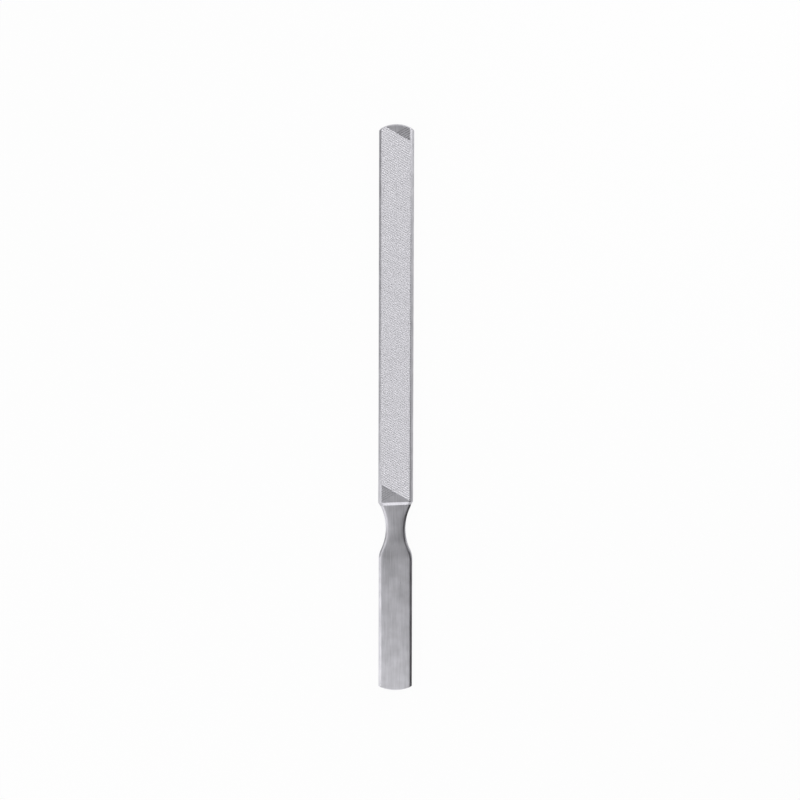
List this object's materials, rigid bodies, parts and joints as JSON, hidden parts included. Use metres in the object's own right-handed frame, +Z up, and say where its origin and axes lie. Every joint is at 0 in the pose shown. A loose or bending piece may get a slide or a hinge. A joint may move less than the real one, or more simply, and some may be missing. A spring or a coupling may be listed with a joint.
{
  "type": "metal nail file",
  "caption": "Flat steel nail file, cut with teeth on both blade faces, with a narrowed neck and a plain flat handle, made in one piece.",
  "frame": {"origin": "centre of the footprint, on the surface that the file lies on", "axes": "+Y along the file towards the blade's tip, +Z up out of the double-cut face, +X to the right seen from above"},
  "size_m": [0.01, 0.165, 0.003],
  "materials": {
    "satin_steel": "ground and satin-finished stainless steel"
  },
  "bodies": {
    "root": {"nail_file": "satin_steel"}
  },
  "joints": []
}
